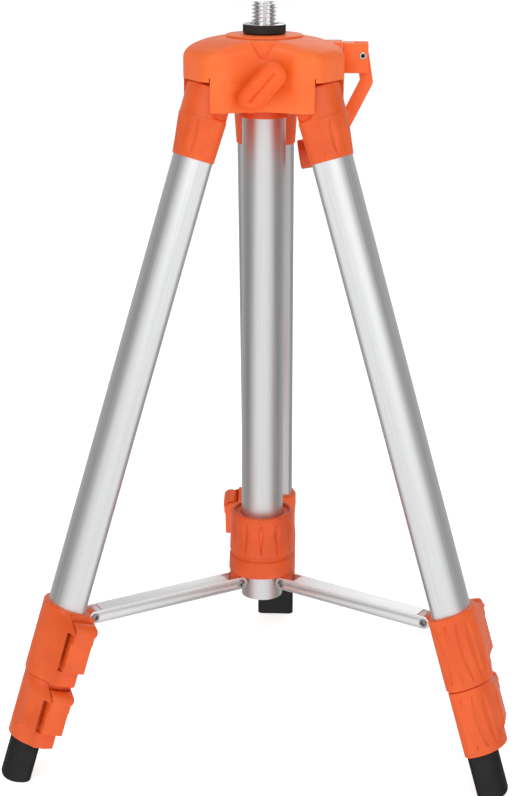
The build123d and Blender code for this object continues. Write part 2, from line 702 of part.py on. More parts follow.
def collar(spec, holds, passes, with_lug):
    """Clamp collar: sleeve on one tube's end, sliding bore for the next, seat and ears for its lever."""
    top, end, wall, shift, pivot_y = spec
    pivot = top + LEVER_PIVOT_DROP
    tail = end - LEVER_FOOT_RISE
    low_x = LEVER_INNER_X - SIDE_GAP
    high_x = LEVER_OUTER_X + SIDE_GAP
    body = along_leg(tube_face(wall, shift), top, end)
    body += block(low_x - EAR_THICKNESS, high_x, SADDLE_INNER_Y, pivot_y - SADDLE_INSET, -tail, -top)
    cheek = Polyline(
        (CHEEK_INNER_X, pivot_y - CHEEK_INSET),
        (CHEEK_OUTER_X, CHEEK_ROOT_Y),
        (CHEEK_INNER_X, CHEEK_ROOT_Y),
        close=True,
    )
    body += along_leg(make_face(cheek), top + CHEEK_DROP, tail)
    body += block(low_x - EAR_THICKNESS, BAND_OUTER_X, SADDLE_INNER_Y, pivot_y - BAND_INSET, -end, -tail - SIDE_GAP)
    for x0 in (low_x - EAR_THICKNESS, high_x):
        x1 = x0 + EAR_THICKNESS
        body += rod(EAR_R, x0, x1, pivot_y, -pivot)
        body += block(x0, x1, EAR_ROOT_Y, pivot_y, -pivot - EAR_R, -pivot + EAR_R)
    body -= rod(LEVER_HEAD_R + SIDE_GAP, low_x, high_x, pivot_y, -pivot)
    seat_y = pivot_y + LEVER_FACE_Y - LEVER_THICKNESS - SIDE_GAP
    body -= block(low_x, high_x, seat_y, REACH, -tail - SIDE_GAP, -pivot)
    if with_lug:
        lug_x, lug_drop = leg_lug_point()
        arm = block(
            lug_x,
            TUBE_FLAT_X,
            -LUG_HALF_WIDTH,
            LUG_HALF_WIDTH,
            -lug_drop - LUG_R,
            -lug_drop + LUG_R,
        )
        arm += cross_rod(LUG_R, -LUG_HALF_WIDTH, LUG_HALF_WIDTH, lug_x, -lug_drop)
        body += arm
        body -= cross_rod(RIVET_R + RUNNING_GAP, -REACH, REACH, lug_x, -lug_drop)
    flat_x, depth, arc_r, corner, hold_shift, hold_end = holds
    body -= along_leg(d_face(flat_x, depth, arc_r, corner, hold_shift, PRESS_GAP), top - OVER, hold_end)
    flat_x, depth, arc_r, corner, pass_shift = passes
    body -= along_leg(d_face(flat_x, depth, arc_r, corner, pass_shift, SLIDE_GAP), top, end + OVER)
    return body - lever_pin(spec, PRESS_GAP)


def lever(spec):
    """Flip lever: round cam head on its pin, and a plate that hangs down the collar's side."""
    top, end, _, _, pivot_y = spec
    pivot = top + LEVER_PIVOT_DROP
    tail = end - LEVER_FOOT_RISE
    outer_y = pivot_y + LEVER_FACE_Y
    inner_y = outer_y - LEVER_THICKNESS
    crease = top + LEVER_CREASE_DROP
    plate = block(LEVER_INNER_X, LEVER_OUTER_X, inner_y, outer_y - LEVER_FACE_INSET, -tail, -pivot)
    plate = fillet(plate.edges().filter_by(Axis.X).group_by(Axis.Z)[0], LEVER_TIP_ROUND)
    body = plate + block(LEVER_INNER_X, LEVER_OUTER_X, inner_y, outer_y, -crease, -pivot)
    body += rod(LEVER_HEAD_R, LEVER_INNER_X, LEVER_OUTER_X, pivot_y, -pivot)
    slope = Polyline(
        (LEVER_OUTER_X + OVER, outer_y - LEVER_BEVEL - OVER),
        (LEVER_OUTER_X - LEVER_BEVEL, outer_y),
        (LEVER_OUTER_X + OVER, outer_y + OVER),
        close=True,
    )
    body -= along_leg(make_face(slope), crease, tail + OVER)
    return body - rod(LEVER_PIN_R + RUNNING_GAP, -REACH, REACH, pivot_y, -pivot)


def lever_pin(spec, grow=0.0):
    """Pin that the lever turns on, moulded into the two ears."""
    top, _, _, _, pivot_y = spec
    start = LEVER_INNER_X - SIDE_GAP - PIN_BITE - grow
    end = LEVER_OUTER_X + SIDE_GAP + PIN_BITE + grow
    return rod(LEVER_PIN_R + grow, start, end, pivot_y, -top - LEVER_PIVOT_DROP)


def foot(angle):
    """Rubber boot over the lowest tube, with a domed end and a small flat on the floor."""
    flat_x, depth, arc_r, corner, shift = FOOT_SHAPE
    boot = along_leg(d_face(flat_x, depth, arc_r, corner, shift), FOOT_TOP, FOOT_END)
    boot = fillet(boot.edges().group_by(Axis.Z)[0], FOOT_ROUND)
    flat_x, depth, arc_r, corner, shift = LOW_SHAPE
    boot -= along_leg(d_face(flat_x, depth, arc_r, corner, shift, PRESS_GAP), FOOT_TOP - OVER, LOW_END)
    placed = leg_place(angle) * boot
    return placed - block(-FLOOR_SPAN, FLOOR_SPAN, -FLOOR_SPAN, FLOOR_SPAN, -REACH, 0)


def save(shape, name):
    export_step(shape, f"parts/{name}.step")


save(crown_top(), "crown_top")
save(crown_base(), "crown_base")
save(column_ring(), "column_ring")
save(guide_bush(), "guide_bush")
save(column_tube(), "column_tube")
save(brake_pad(), "brake_pad")
save(crank_block(), "crank_block")
save(crank_screw(), "crank_screw")
save(crank_arm(), "crank_arm")
save(crank_handle(), "crank_handle")
save(pinion_shaft(), "pinion_shaft")
save(lift_column(), "lift_column")
save(head_plate(), "head_plate")
save(mount_stud(), "mount_stud")
save(lock_nut(), "lock_nut")
save(lock_knob(), "lock_knob")
save(knob_screw(), "knob_screw")
save(hub_cup(), "hub_cup")

upper_tube = hollow_tube((TUBE_FLAT_X, TUBE_DEPTH, TUBE_ARC_R, TUBE_CORNER, 0.0), TUBE_WALL, TUBE_TOP, TUBE_END)
mid_tube = hollow_tube(MID_SHAPE, MID_WALL, MID_TOP, MID_END)
low_tube = hollow_tube(LOW_SHAPE, LOW_WALL, LOW_TOP, LOW_END)
upper_hold = (TUBE_FLAT_X, TUBE_DEPTH, TUBE_ARC_R, TUBE_CORNER, 0.0, TUBE_END)
leg_pieces = {
    "socket": socket(),
    "hinge_pin": hinge_pin(),
    "upper_tube": upper_tube,
    "upper_collar": collar(UPPER_COLLAR, upper_hold, MID_SHAPE, True),
    "upper_lever": lever(UPPER_COLLAR),
    "upper_lever_pin": lever_pin(UPPER_COLLAR),
    "mid_tube": mid_tube,
    "mid_collar": collar(MID_COLLAR, MID_SHAPE + (MID_END,), LOW_SHAPE, False),
    "mid_lever": lever(MID_COLLAR),
    "mid_lever_pin": lever_pin(MID_COLLAR),
    "low_tube": low_tube,
}
strut_piece = strut()
rivet_pieces = strut_rivets()
for side, angle in LEG_AZIMUTHS.items():
    for piece, shape in leg_pieces.items():
        save(leg_place(angle) * shape, f"{side}_{piece}")
    save(foot(angle), f"{side}_foot")
    save(strut_place(angle) * strut_piece, f"{side}_strut")
    save(strut_place(angle) * rivet_pieces, f"{side}_strut_rivets")
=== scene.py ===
import json
import math

import bmesh
import bpy
from mathutils import Matrix, Vector


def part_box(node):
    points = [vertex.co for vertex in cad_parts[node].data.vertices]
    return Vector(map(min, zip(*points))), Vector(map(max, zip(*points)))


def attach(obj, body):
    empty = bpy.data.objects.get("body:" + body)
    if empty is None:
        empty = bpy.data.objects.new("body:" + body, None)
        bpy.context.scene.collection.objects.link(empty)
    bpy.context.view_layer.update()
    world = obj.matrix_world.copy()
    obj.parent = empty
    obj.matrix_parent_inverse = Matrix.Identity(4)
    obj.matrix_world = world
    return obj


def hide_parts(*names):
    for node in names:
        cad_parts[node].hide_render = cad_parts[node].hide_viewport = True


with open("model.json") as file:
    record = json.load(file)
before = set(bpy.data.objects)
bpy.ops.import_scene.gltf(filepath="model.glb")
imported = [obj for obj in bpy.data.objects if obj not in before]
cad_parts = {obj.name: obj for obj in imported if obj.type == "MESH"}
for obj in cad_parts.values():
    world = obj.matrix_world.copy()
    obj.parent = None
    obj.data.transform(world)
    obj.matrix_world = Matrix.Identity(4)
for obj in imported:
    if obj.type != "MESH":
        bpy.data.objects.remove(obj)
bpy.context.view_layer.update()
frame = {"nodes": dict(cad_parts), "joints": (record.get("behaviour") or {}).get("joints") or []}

# Aluminium tripod for a laser level, orange mouldings on satin tubes.
# Leg pieces are built in the leg's own frame: X outwards from the flat side of the tube,
# Y round the column, Z up the leg. "drop" is a distance down the leg from its top pivot.
MM = 0.001
SIDES = ("rear", "left", "right")
JOINTS = {joint["name"]: joint for joint in frame["joints"]}

# D sections: flat side, depth, radius of the bowed side, corner radius, sideways shift (mm)
TUBE_D = (-7.6, 17.8, 20.0, 4.0, 0.0)
MID_D = (-6.2, 13.4, 15.0, 3.0, -2.2)
LOW_D = (-4.9, 10.0, 11.0, 2.2, -4.0)
TUBE_DROPS = (19.0, 385.0)
MID_DROPS = (60.0, 430.0)
LOW_DROPS = (70.0, 455.0)
TUBE_WALL, MID_WALL, LOW_WALL = 1.1, 1.0, 0.9
TUBE_POINTS = 120
TUBE_EDGE = 0.15

# Sockets at the crown
SOCKET_BORE_START = 9.0
SOCKET_STEP = 17.5
SOCKET_END = 43.5
SOCKET_SHOULDER = (-8.7, 23.0, 21.4, 5.5, 0.0)
SOCKET_LIP = 0.7
SOCKET_POINTS = 160
SOCKET_RINGS = 34
SOCKET_FLUTES = ((-19.5, 2.5), (-11.0, 2.0), (-3.0, 1.0), (5.0, -1.5), (13.0, -2.0), (20.5, -2.5))
SOCKET_FLUTE_DEPTH = 0.7
HEAD_DROPS = (12.0, 8.0, 4.0, 0.0, -1.0, -1.5, -2.0, -2.8, -5.0, -6.6, -7.6, -8.0)
HEAD_HALF_WIDTH = 17.6
HEAD_R = 8.0

# Collars: top and end drops, wall, sideways shift, sideways place of the lever's pin (mm)
UPPER_COLLAR = (340.0, 388.4, 3.0, 0.0, 27.8)
MID_COLLAR = (388.9, 433.4, 1.7, -1.2, 22.2)
LEVER_PIN_DROP = 8.5
LEVER_TAIL_RISE = 12.5
LEVER_CREASE = 16.0
LEVER_INNER_X = -10.0
LEVER_OUTER_X = 3.6
SIDE_GAP = 0.35
COLLAR_POINTS = 240
COLLAR_FLUTES = ((-30.0, 3.0), (-22.5, 3.0), (-15.0, 2.5), (-7.5, 2.0), (0.0, 0.0))
COLLAR_FLUTE_DEPTH = 0.8
RING_GAP = 0.7
CHEEK_X = 6.4
CHEEK_OUTER_X = 12.4
CHEEK_ROOT_Y = 5.8
CHEEK_INSET = 1.0
CAP_RISE = 4.8
CAP_LIFT = 5.0
BAND_INSET = 2.4
BAND_CORNER_R = 2.6
ROOM_INSET = 5.8
SLOT_INSET = 6.2
SLOT_LIFT = 6.0
CUT_REACH = 20.0
SEAT_FACE = 5.85
SEAT_BACK = 8.6
EAR_R = 3.4
EAR_ROOT_Y = 12.0

# Lugs for the struts, on the hub and on the upper collars, and their rivets
LUG_R = 3.4
LUG_HALF_WIDTH = 4.9
LUG_ARC_STEPS = 12
RIVET_HALF_SPAN = 6.2
RIVET_HEAD = 1.1

# Hub
HUB_BOTTOM = 113.6
HUB_BORE = 14.15
HUB_BASE_R = 22.4
HUB_TOP_R = 20.8
HUB_HOLLOWS = 12
HUB_LUG_START = 15.4

# Clamp knob
KNOB_TILT = 49.0
KNOB_HALF_LENGTH = 17.8
KNOB_HALF_WIDTH = 8.2

# Stud, a 5/8"-11 thread, and its knurled nut
STUD_R = 7.9375
STUD_CORE_R = 7.4
THREAD_PITCH = 25.4 / 11
THREAD_DEPTH = 1.75
THREAD_RINGS = 120
THREAD_POINTS = 144
NUT_RIDGES = 64

# How much the floor glows by itself
FLOOR_GLOW = 0.60

# Camera, solved from the photo's straight edges (degrees, metres, mm)
CAMERA_AZIMUTH = 1.558
CAMERA_YAW = 0.216
CAMERA_PITCH = 17.295
CAMERA_ROLL = 0.194
CAMERA_DISTANCE = 1.08578
CAMERA_HEIGHT = 0.57292
CAMERA_LENS = 77.55
SENSOR_WIDTH = 36.0


# ---------------------------------------------------------------- materials

def node_tree(name):
    """A new material, with its nodes, its links and its shader."""
    material = bpy.data.materials.new(name)
    material.use_nodes = True
    nodes = material.node_tree.nodes
    return material, nodes, material.node_tree.links, nodes["Principled BSDF"]


def noise(nodes, links, scale, detail=3.0, stretch=(1, 1, 1)):
    """Noise in the piece's own coordinates; scale is in waves per metre."""
    where = nodes.new("ShaderNodeTexCoord")
    mapping = nodes.new("ShaderNodeMapping")
    mapping.inputs["Scale"].default_value = stretch
    links.new(where.outputs["Object"], mapping.inputs["Vector"])
    texture = nodes.new("ShaderNodeTexNoise")
    texture.inputs["Scale"].default_value = scale
    texture.inputs["Detail"].default_value = detail
    links.new(mapping.outputs["Vector"], texture.inputs["Vector"])
    return texture.outputs["Fac"]


def spread(nodes, links, source, low, high):
    """Map a noise value to a range of numbers."""
    ranged = nodes.new("ShaderNodeMapRange")
    ranged.inputs["From Min"].default_value = 0.3
    ranged.inputs["From Max"].default_value = 0.7
    ranged.inputs["To Min"].default_value = low
    ranged.inputs["To Max"].default_value = high
    links.new(source, ranged.inputs["Value"])
    return ranged.outputs["Result"]


def tinted(nodes, links, source, dark, light):
    """A colour between dark and light that follows a noise value."""
    ramp = nodes.new("ShaderNodeValToRGB")
    ramp.color_ramp.elements[0].position = 0.35
    ramp.color_ramp.elements[0].color = (*dark, 1)
    ramp.color_ramp.elements[1].position = 0.65
    ramp.color_ramp.elements[1].color = (*light, 1)
    links.new(source, ramp.inputs["Fac"])
    return ramp.outputs["Color"]


def bumped(nodes, links, source, shader, depth, strength=1.0):
    """Raise the shader's surface with a noise value; depth is in metres."""
    bump = nodes.new("ShaderNodeBump")
    bump.inputs["Strength"].default_value = strength
    bump.inputs["Distance"].default_value = depth
    links.new(source, bump.inputs["Height"])
    links.new(bump.outputs["Normal"], shader.inputs["Normal"])


def moulded_plastic(name, dark, light, rough, grain=2600.0, depth=0.00002):
    """Moulded plastic: slow colour drift, fine spark-eroded grain, uneven sheen."""
    material, nodes, links, shader = node_tree(name)
    links.new(tinted(nodes, links, noise(nodes, links, 45.0), dark, light), shader.inputs["Base Color"])
    sheen = spread(nodes, links, noise(nodes, links, 160.0), rough - 0.05, rough + 0.06)
    links.new(sheen, shader.inputs["Roughness"])
    bumped(nodes, links, noise(nodes, links, grain, 2.0), shader, depth, 0.6)
    shader.inputs["IOR"].default_value = 1.46
    return material


def drawn_metal(name, dark, light, rough, stretch, scale=900.0, depth=0.000006):
    """Metal with fine lines along its length."""
    material, nodes, links, shader = node_tree(name)
    shader.inputs["Metallic"].default_value = 1.0
    lines = noise(nodes, links, scale, 4.0, stretch)
    links.new(tinted(nodes, links, lines, dark, light), shader.inputs["Base Color"])
    links.new(spread(nodes, links, lines, rough - 0.05, rough + 0.05), shader.inputs["Roughness"])
    bumped(nodes, links, lines, shader, depth, 0.5)
    return material


ORANGE = moulded_plastic("orange_plastic", (0.92, 0.140, 0.018), (0.97, 0.166, 0.025), 0.40)
# Darker copy of the orange plastic for the sockets, collars, seats and levers: painted shade on the leg
# mouldings.
LEG_SHADED_ORANGE = moulded_plastic("leg_orange_painted_shade", (0.76, 0.096, 0.011), (0.84, 0.116, 0.016), 0.38)
# Darkest copy of the orange plastic, for the column ring, the crank's handle and the lift column:
# painted shade for parts that sit in shadow.
SHADED_DEEP_ORANGE = moulded_plastic("deep_orange_painted_shade", (0.72, 0.070, 0.006), (0.80, 0.088, 0.010), 0.40)
# Darker copy of the orange plastic for the hub low on the column: painted shade.
HUB_SHADED_ORANGE = moulded_plastic("hub_orange_painted_shade", (0.68, 0.076, 0.009), (0.78, 0.096, 0.013), 0.42)
# Deeper, darker copy of the orange plastic for the clamp knob in the crown's front recess: painted
# shade.
KNOB_SHADED_ORANGE = moulded_plastic("knob_orange_painted_shade", (0.86, 0.100, 0.008), (0.93, 0.122, 0.011), 0.36)
BLACK = moulded_plastic("black_plastic", (0.010, 0.010, 0.011), (0.018, 0.018, 0.019), 0.50)
RUBBER = moulded_plastic(
    "black_rubber", (0.004, 0.004, 0.0045), (0.009, 0.009, 0.0095), 0.62, 1500.0, 0.00006
)
ALUMINIUM = drawn_metal(
    "satin_aluminium", (0.80, 0.805, 0.81), (0.86, 0.865, 0.87), 0.46, (1, 1, 0.012)
)
STRUT_METAL = drawn_metal(
    "strut_steel", (0.93, 0.935, 0.94), (0.98, 0.98, 0.985), 0.42, (0.02, 1, 1)
)
BRIGHT = drawn_metal("bright_steel", (0.80, 0.80, 0.81), (0.88, 0.88, 0.89), 0.14, (1, 1, 1), 300.0)
# Rivet steel darker than the pins: painted shade for the rivets' sunken centres, which falls on their
# heads too.
RIVET_SHADED_METAL = drawn_metal("rivet_steel_painted_shade", (0.30, 0.30, 0.31), (0.42, 0.42, 0.43), 0.25, (1, 1, 1), 500.0)
PIN_METAL = drawn_metal("pin_steel", (0.50, 0.50, 0.51), (0.60, 0.60, 0.61), 0.30, (1, 1, 1), 500.0)


# ---------------------------------------------------------------- mesh helpers

def add_piece(name, mesh, material, body, place=Matrix.Identity(4), replaced=(), sharp=35.0):
    """Put a finished mesh in the scene, in place, riding on its body."""
    for polygon in mesh.polygons:
        polygon.use_smooth = True
    mesh.set_sharp_from_angle(angle=math.radians(sharp))
    piece = bpy.data.objects.new(name, mesh)
    bpy.context.scene.collection.objects.link(piece)
    piece.matrix_world = place
    if not mesh.materials:
        mesh.materials.append(material)
    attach(piece, body)
    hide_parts(*replaced)
    return piece


def mesh_from(bm, name):
    """A mesh from a bmesh, with its faces turned outwards; the bmesh is used up."""
    bmesh.ops.recalc_face_normals(bm, faces=bm.faces)
    mesh = bpy.data.meshes.new(name)
    bm.to_mesh(mesh)
    bm.free()
    return mesh


def placed(bm, name, place):
    """A mesh with its vertices already moved to their place, so that its box is the real one."""
    mesh = mesh_from(bm, name)
    mesh.transform(place)
    return mesh


def add_rings(bm, rings, looped=False, capped=True):
    """Skin a stack of rings that all have the same number of points."""
    loops = [[bm.verts.new(point) for point in ring] for ring in rings]
    pairs = list(zip(loops, loops[1:]))
    if looped:
        pairs.append((loops[-1], loops[0]))
    for low, high in pairs:
        for i in range(len(low)):
            j = (i + 1) % len(low)
            bm.faces.new((low[i], low[j], high[j], high[i]))
    if capped and not looped:
        bm.faces.new(list(reversed(loops[0])))
        bm.faces.new(loops[-1])


def turned(profile, count, shape=None):
    """Rings turned about Z from (radius, height) points; shape may move a point by angle and height."""
    rings = []
    for radius, height in profile:
        ring = []
        for i in range(count):
            angle = 2 * math.pi * i / count
            r = radius if shape is None else shape(radius, height, angle)
            ring.append(Vector((r * math.cos(angle), r * math.sin(angle), height)) * MM)
        rings.append(ring)
    return rings


def d_outline(shape, grow, count):
    """Even points round a D section from the middle of its bow, with how far round each is (mm)."""
    flat_x, depth, arc_r, corner, shift = shape
    left = flat_x - grow
    big = arc_r + grow
    small = corner + grow
    centre_x = left + depth + 2 * grow - big
    corner_x = left + small
    corner_y = math.sqrt((big - small) ** 2 - (corner_x - centre_x) ** 2)
    meet = math.atan2(corner_y, corner_x - centre_x)
    spans = [big * meet, small * (math.pi - meet), corner_y]
    half = sum(spans)
    points = []
    for i in range(count):
        along = 2 * half * i / count
        mirror = 1 if along <= half else -1
        s = along if along <= half else 2 * half - along
        if s < spans[0]:
            x = centre_x + big * math.cos(s / big)
            y = big * math.sin(s / big)
        elif s < spans[0] + spans[1]:
            turn = meet + (s - spans[0]) / small
            x = corner_x + small * math.cos(turn)
            y = corner_y + small * math.sin(turn)
        else:
            x = left
            y = half - s
        points.append((x, mirror * y + shift, mirror * s))
    return points


def d_ring(shape, grow, drop, count):
    """Ring of a D section at a drop down the leg, grown outwards by some millimetres."""
    return [Vector((x, y, -drop)) * MM for x, y, _ in d_outline(shape, grow, count)]


def leaf(across, along, centre, half_width, start, end, lean=0.0):
    """Depth from 0 to 1 of a leaf-shaped hollow that is pointed at both ends."""
    if not start < along < end:
        return 0.0
    share = (along - start) / (end - start)
    width = half_width * math.sin(math.pi * share) ** 0.7
    offset = (across - centre - lean * (share - 0.5)) / max(width, 1e-6)
    return max(0.0, 1.0 - offset * offset) ** 0.8


def softened(node, width, segments=2, dissolve=0.6):
    """A copy of a CAD node's mesh with its facets merged and its sharp edges rounded over."""
    source = frame["nodes"][node]
    bm = bmesh.new()
    bm.from_mesh(source.data)
    bmesh.ops.remove_doubles(bm, verts=bm.verts, dist=0.000002)
    bmesh.ops.dissolve_limit(bm, angle_limit=math.radians(dissolve), verts=bm.verts, edges=bm.edges)
    sharp = [e for e in bm.edges if e.is_manifold and e.calc_face_angle(0) > math.radians(30)]
    bmesh.ops.bevel(
        bm,
        geom=sharp,
        offset=width * MM,
        segments=segments,
        profile=0.5,
        affect="EDGES",
        clamp_overlap=True,
    )
    return mesh_from(bm, node)


def leg_matrix(side):
    """The leg's own frame, from its hinge pin and its joints."""
    low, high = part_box(f"{side}_hinge_pin")
    up = -Vector(JOINTS[f"{side}_mid_slide"]["axis"]).normalized()
    round_column = Vector(JOINTS[f"{side}_strut_turn"]["axis"]).normalized()
    outwards = round_column.cross(up)
    turn = Matrix((outwards, round_column, up)).transposed().to_4x4()
    return Matrix.Translation((low + high) / 2) @ turn


def carried(node, material, body, width=0.0, segments=2):
    """A CAD node shown as it is, or with softened edges."""
    if not width:
        for material_slot in frame["nodes"][node].material_slots:
            material_slot.material = material
        return frame["nodes"][node]
    mesh = softened(node, width, segments)
    mesh.materials.clear()
    return add_piece(f"{node}_shown", mesh, material, body, replaced=(node,))


# ---------------------------------------------------------------- crown and head

def make_stud():
    """Threaded stud with a bevelled nose."""
    low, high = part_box("mount_stud")
    bottom, top = low.z / MM, high.z / MM
    thread_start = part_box("lock_nut")[1].z / MM - 0.6
    nose = 1.3
    length = top - thread_start
    heights = [thread_start + length * i / THREAD_RINGS for i in range(THREAD_RINGS + 1)]

    def thread(radius, height, angle):
        share = ((height - thread_start) / THREAD_PITCH - angle / (2 * math.pi)) % 1.0
        ridge = min(1.0, max(0.0, (2.0 * abs(share - 0.5) - 0.16) * 1.5))
        cut = STUD_R - THREAD_DEPTH * ridge
        return min(cut, radius)

    profile = [(STUD_CORE_R, bottom), (STUD_CORE_R, thread_start - 0.05)]
    for height in heights:
        limit = STUD_R - max(0.0, nose - (top - height)) * 1.1
        profile.append((limit, height))
    body = [(r, z) for r, z in profile if z < thread_start]
    threaded = [(r, z) for r, z in profile if z >= thread_start]
    bm = bmesh.new()
    rings = turned(body, THREAD_POINTS) + turned(threaded, THREAD_POINTS, thread)
    rings += turned([(5.2, top), (4.4, top - 0.25)], THREAD_POINTS)
    add_rings(bm, rings)
    add_piece("stud_threaded", mesh_from(bm, "stud_threaded"), BRIGHT, "lift",
              replaced=("mount_stud",), sharp=50)


def make_nut():
    """Round lock nut with a finely knurled edge and bright faces."""
    low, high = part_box("lock_nut")
    bottom, top, radius = low.z / MM, high.z / MM, high.x / MM

    def knurl(r, height, angle):
        if r < radius - 0.35 or not bottom + 0.7 < height < top - 0.9:
            return r
        return r - 0.32 * (0.5 + 0.5 * math.cos(NUT_RIDGES * angle)) ** 0.6

    profile = [(8.0, bottom), (radius - 0.9, bottom), (radius - 0.3, bottom + 0.35)]
    profile += [(radius, bottom + 0.7), (radius, bottom + 0.75), (radius, top - 0.95)]
    profile += [(radius, top - 0.9), (radius - 0.25, top - 0.35), (radius - 0.9, top), (8.9, top)]
    profile += [(8.0, top - 0.9), (8.0, bottom + 0.5)]
    bm = bmesh.new()
    add_rings(bm, turned(profile, NUT_RIDGES * 6, knurl), looped=True)
    mesh = mesh_from(bm, "nut_knurled")
    mesh.materials.append(BLACK)
    mesh.materials.append(BRIGHT)
    for polygon in mesh.polygons:
        polygon.material_index = 1 if polygon.center.z > (top - 0.4) * MM else 0
    add_piece("nut_knurled", mesh, BLACK, "nut", replaced=("lock_nut",))


def make_plate():
    """Raised round platform with a soft shoulder."""
    _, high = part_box("head_plate")
    top, radius = high.z / MM, high.x / MM
    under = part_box("crown_top")[1].z / MM + 0.12
    profile = [(6.0, under), (radius, under), (radius, top - 0.8), (radius - 0.15, top - 0.4)]
    profile += [(radius - 0.6, top - 0.08), (radius - 1.1, top), (6.0, top)]
    bm = bmesh.new()
    add_rings(bm, turned(profile, 128), looped=True)
    add_piece("plate_turned", mesh_from(bm, "plate_turned"), ORANGE, "lift",
              replaced=("head_plate",))


def stadium(half_length, half_width, tilt, count):
    """Points round a stadium in the XZ plane."""
    straight = half_length - half_width
    points = []
    for i in range(count):
        angle = 2 * math.pi * (i + 0.5) / count
        x = half_width * math.cos(angle) + math.copysign(straight, math.cos(angle))
        z = half_width * math.sin(angle)
        points.append((x * math.cos(tilt) - z * math.sin(tilt), x * math.sin(tilt) + z * math.cos(tilt)))
    return points


def make_knob():
    """Flat wing knob with a bevelled rim and a groove along its face."""
    low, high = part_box("lock_knob")
    pivot = Vector(JOINTS["knob_turn"]["pos_m"])
    front = low.y / MM
    back = pivot.y / MM
    tilt = math.radians(KNOB_TILT)
    layers = [(2.0, back), (0.9, back), (0.25, back - 0.3), (0.0, back - 1.0), (0.0, front + 1.9)]
    layers += [(0.25, front + 1.5), (1.5, front + 0.3), (1.9, front), (2.2, front), (2.6, front + 0.45)]
    layers += [(3.4, front + 0.6), (6.4, front + 0.6)]
    bm = bmesh.new()
    rings = []
    for inset, depth in layers:
        outline = stadium(KNOB_HALF_LENGTH - inset, KNOB_HALF_WIDTH - inset, tilt, 96)
        rings.append([Vector((x * MM, depth * MM, pivot.z + z * MM)) for x, z in outline])
    add_rings(bm, rings)
    stem = [(5.0, back + 0.5), (5.0, high.y / MM)]
    rings = []
    for radius, depth in stem:
        ring = []
        for i in range(48):
            angle = 2 * math.pi * i / 48
            across, up = radius * math.cos(angle) * MM, radius * math.sin(angle) * MM
            ring.append(Vector((across, depth * MM, pivot.z + up)))
        rings.append(ring)
    add_rings(bm, rings)
    knob = add_piece("knob_wing", mesh_from(bm, "knob_wing"), KNOB_SHADED_ORANGE, "knob",
                     replaced=("lock_knob",))
    groove = bmesh.new()
    rings = []
    for inset, depth in ((0.1, front - 0.5), (0.4, front + 1.1), (0.9, front + 1.5)):
        outline = stadium(12.0 - inset, 1.15 - inset, tilt, 32)
        rings.append([Vector((x * MM, depth * MM, pivot.z + z * MM)) for x, z in outline])
    add_rings(groove, rings)
    carve(knob, mesh_from(groove, "groove"))


def carve(piece, cutter_mesh):
    """Cut a closed mesh out of a piece, and leave no modifier behind."""
    cutter = bpy.data.objects.new("cutter", cutter_mesh)
    bpy.context.scene.collection.objects.link(cutter)
    cutter.matrix_world = piece.matrix_world
    modifier = piece.modifiers.new("cut", "BOOLEAN")
    modifier.operation = "DIFFERENCE"
    modifier.solver = "EXACT"
    modifier.object = cutter
    graph = bpy.context.evaluated_depsgraph_get()
    cut = bpy.data.meshes.new_from_object(piece.evaluated_get(graph))
    piece.modifiers.clear()
    piece.data = cut
    bpy.data.objects.remove(cutter)


def make_crank_screw():
    """Socket-head screw through the crank's block, with a six-sided recess painted black as shade."""
    low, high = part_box("crank_screw")
    centre = (low + high) / 2
    front, back = low.y / MM, high.y / MM
    head_r, shank_r = (high.x - low.x) / (2 * MM), 1.6
    bm = bmesh.new()

    def hexed(radius, depth):
        ring = []
        for i in range(48):
            angle = 2 * math.pi * i / 48
            sixth = math.pi / 3
            r = radius * math.cos(sixth / 2) / math.cos((angle % sixth) - sixth / 2)
            across, up = r * math.cos(angle) * MM, r * math.sin(angle) * MM
            ring.append(Vector((centre.x + across, depth * MM, centre.z + up)))
        return ring

    def circle(radius, depth):
        return [Vector((centre.x + radius * math.cos(2 * math.pi * i / 48) * MM, depth * MM,
                        centre.z + radius * math.sin(2 * math.pi * i / 48) * MM)) for i in range(48)]

    rings = [hexed(1.0, front + 1.4), hexed(1.25, front + 0.1), circle(1.5, front)]
    rings += [circle(head_r - 0.25, front), circle(head_r, front + 0.25), circle(head_r, front + 0.8)]
    rings.append(circle(shank_r, front + 0.8))
    rings += [circle(shank_r, back - 0.2), circle(shank_r - 0.2, back)]
    add_rings(bm, rings)
    mesh = mesh_from(bm, "crank_screw_socketed")
    mesh.materials.append(BRIGHT)
    mesh.materials.append(BLACK)
    # Black plastic on the faces inside the recess is painted shade in the hole.
    for polygon in mesh.polygons:
        reach = math.hypot(polygon.center.x - centre.x, polygon.center.z - centre.z) / MM
        shaded_recess = reach < 1.35 and front + 0.02 < polygon.center.y / MM < front + 2.0
        polygon.material_index = 1 if shaded_recess else 0
    add_piece("crank_screw_socketed", mesh, BRIGHT, "crown",
              replaced=("crank_screw",))


# ---------------------------------------------------------------- hub

